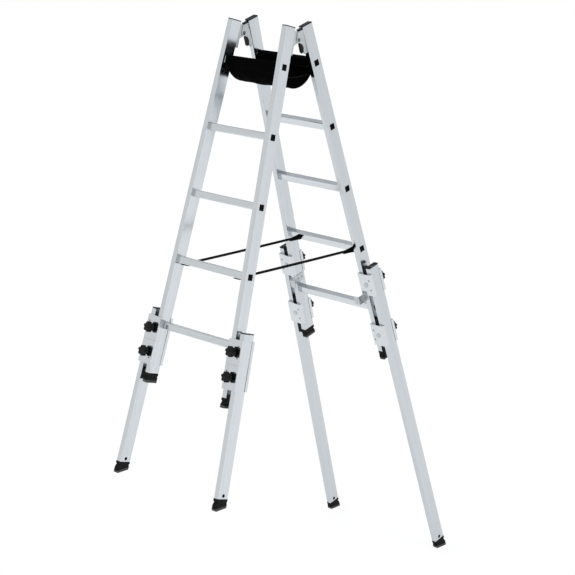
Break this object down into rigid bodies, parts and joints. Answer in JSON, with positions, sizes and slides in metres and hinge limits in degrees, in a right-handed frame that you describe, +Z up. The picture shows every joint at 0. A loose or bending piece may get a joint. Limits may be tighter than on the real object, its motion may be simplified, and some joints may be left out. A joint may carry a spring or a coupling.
{
  "type": "multi position ladder",
  "caption": "Double-sided aluminium rung stepladder with splayed stiles, a top hinge, clamped sliding leg extensions for stairs, restraint straps and a cloth tool pouch.",
  "frame": {"origin": "centre of the outer box's base, at the level of the rear soles", "axes": "+Z up, X along the rungs with +X on the right seen from the front, -Y towards the front section"},
  "size_m": [0.6846, 1.4108, 2.4253],
  "materials": {
    "aluminium_profile": "smooth mill finish",
    "clamp_aluminium": "bright smooth extrusion",
    "zinc_steel": "zinc plated",
    "black_rubber": "matte",
    "black_plastic": "fine grain",
    "knob_plastic": "fine grain",
    "pouch_fabric": "woven, bare",
    "strap_fabric": "braided"
  },
  "bodies": {
    "front_section": {"front_left_stile": "aluminium_profile", "front_right_stile": "aluminium_profile", "front_rung_1": "aluminium_profile", "front_rung_2": "aluminium_profile", "front_rung_3": "aluminium_profile", "front_rung_4": "aluminium_profile", "front_rung_5": "aluminium_profile", "front_rung_plugs": "black_plastic", "front_stile_caps": "black_plastic", "front_stile_feet": "black_rubber", "front_hinge_leaves": "zinc_steel", "front_lower_clamps": "clamp_aluminium", "front_section_fasteners": "zinc_steel", "tool_pouch": "pouch_fabric", "restraint_straps": "strap_fabric"},
    "rear_section": {"rear_left_stile": "aluminium_profile", "rear_right_stile": "aluminium_profile", "rear_rung_1": "aluminium_profile", "rear_rung_2": "aluminium_profile", "rear_rung_3": "aluminium_profile", "rear_rung_4": "aluminium_profile", "rear_rung_5": "aluminium_profile", "rear_rung_plugs": "black_plastic", "rear_stile_caps": "black_plastic", "rear_stile_feet": "black_rubber", "rear_hinge_leaves": "zinc_steel", "rear_lower_clamps": "clamp_aluminium", "rear_section_fasteners": "zinc_steel", "hinge_guards": "black_plastic", "hinge_pins": "zinc_steel", "stop_brackets": "zinc_steel"},
    "front_left_extension": {"front_left_leg": "aluminium_profile", "front_left_leg_guide": "black_plastic", "front_left_leg_shoe": "black_rubber", "front_left_upper_clamp": "clamp_aluminium", "front_left_leg_fasteners": "zinc_steel"},
    "front_left_upper_clamp_knob": {"front_left_upper_knob": "knob_plastic"},
    "front_left_lower_clamp_knob": {"front_left_lower_knob": "knob_plastic"},
    "front_right_extension": {"front_right_leg": "aluminium_profile", "front_right_leg_guide": "black_plastic", "front_right_leg_shoe": "black_rubber", "front_right_upper_clamp": "clamp_aluminium", "front_right_leg_fasteners": "zinc_steel"},
    "front_right_upper_clamp_knob": {"front_right_upper_knob": "knob_plastic"},
    "front_right_lower_clamp_knob": {"front_right_lower_knob": "knob_plastic"},
    "rear_left_extension": {"rear_left_leg": "aluminium_profile", "rear_left_leg_guide": "black_plastic", "rear_left_leg_shoe": "black_rubber", "rear_left_upper_clamp": "clamp_aluminium", "rear_left_leg_fasteners": "zinc_steel"},
    "rear_left_upper_clamp_knob": {"rear_left_upper_knob": "knob_plastic"},
    "rear_left_lower_clamp_knob": {"rear_left_lower_knob": "knob_plastic"},
    "rear_right_extension": {"rear_right_leg": "aluminium_profile", "rear_right_leg_guide": "black_plastic", "rear_right_leg_shoe": "black_rubber", "rear_right_upper_clamp": "clamp_aluminium", "rear_right_leg_fasteners": "zinc_steel"},
    "rear_right_upper_clamp_knob": {"rear_right_upper_knob": "knob_plastic"},
    "rear_right_lower_clamp_knob": {"rear_right_lower_knob": "knob_plastic"}
  },
  "joints": [
    {"name": "fold", "type": "hinge", "parent": "front_section", "child": "rear_section", "pos_m": [0, -0.08309, 2.35759], "axis": [-1, 0, 0], "range_deg": [0, 32.7], "deforming": ["tool_pouch", "restraint_straps"]},
    {"name": "front_left_leg_slide", "type": "slide", "parent": "front_section", "child": "front_left_extension", "axis": [0.0516, 0.2811, 0.9583], "range_m": [0, 0.37]},
    {"name": "front_left_upper_knob_turn", "type": "hinge", "parent": "front_left_extension", "child": "front_left_upper_clamp_knob", "pos_m": [-0.24384, -0.54321, 1.17995], "axis": [0, -0.9596, 0.2815], "range_deg": [0, 360]},
    {"name": "front_left_lower_knob_turn", "type": "hinge", "parent": "front_section", "child": "front_left_lower_clamp_knob", "pos_m": [-0.24909, -0.57177, 1.08259], "axis": [0, -0.9596, 0.2815], "range_deg": [0, 360]},
    {"name": "front_right_leg_slide", "type": "slide", "parent": "front_section", "child": "front_right_extension", "axis": [-0.0516, 0.2811, 0.9583], "range_m": [0, 0.37]},
    {"name": "front_right_upper_knob_turn", "type": "hinge", "parent": "front_right_extension", "child": "front_right_upper_clamp_knob", "pos_m": [0.24384, -0.54321, 1.17995], "axis": [0, -0.9596, 0.2815], "range_deg": [0, 360]},
    {"name": "front_right_lower_knob_turn", "type": "hinge", "parent": "front_section", "child": "front_right_lower_clamp_knob", "pos_m": [0.24909, -0.57177, 1.08259], "axis": [0, -0.9596, 0.2815], "range_deg": [0, 360]},
    {"name": "rear_left_leg_slide", "type": "slide", "parent": "rear_section", "child": "rear_left_extension", "axis": [0.0516, -0.2811, 0.9583], "range_m": [0, 0.96]},
    {"name": "rear_left_upper_knob_turn", "type": "hinge", "parent": "rear_left_extension", "child": "rear_left_upper_clamp_knob", "pos_m": [-0.23636, 0.3363, 1.3188], "axis": [0, 0.9596, 0.2815], "range_deg": [0, 360]},
    {"name": "rear_left_lower_knob_turn", "type": "hinge", "parent": "rear_section", "child": "rear_left_lower_clamp_knob", "pos_m": [-0.24909, 0.40559, 1.08259], "axis": [0, 0.9596, 0.2815], "range_deg": [0, 360]},
    {"name": "rear_right_leg_slide", "type": "slide", "parent": "rear_section", "child": "rear_right_extension", "axis": [-0.0516, -0.2811, 0.9583], "range_m": [0, 0.96]},
    {"name": "rear_right_upper_knob_turn", "type": "hinge", "parent": "rear_right_extension", "child": "rear_right_upper_clamp_knob", "pos_m": [0.23636, 0.3363, 1.3188], "axis": [0, 0.9596, 0.2815], "range_deg": [0, 360]},
    {"name": "rear_right_lower_knob_turn", "type": "hinge", "parent": "rear_section", "child": "rear_right_lower_clamp_knob", "pos_m": [0.24909, 0.40559, 1.08259], "axis": [0, 0.9596, 0.2815], "range_deg": [0, 360]}
  ]
}
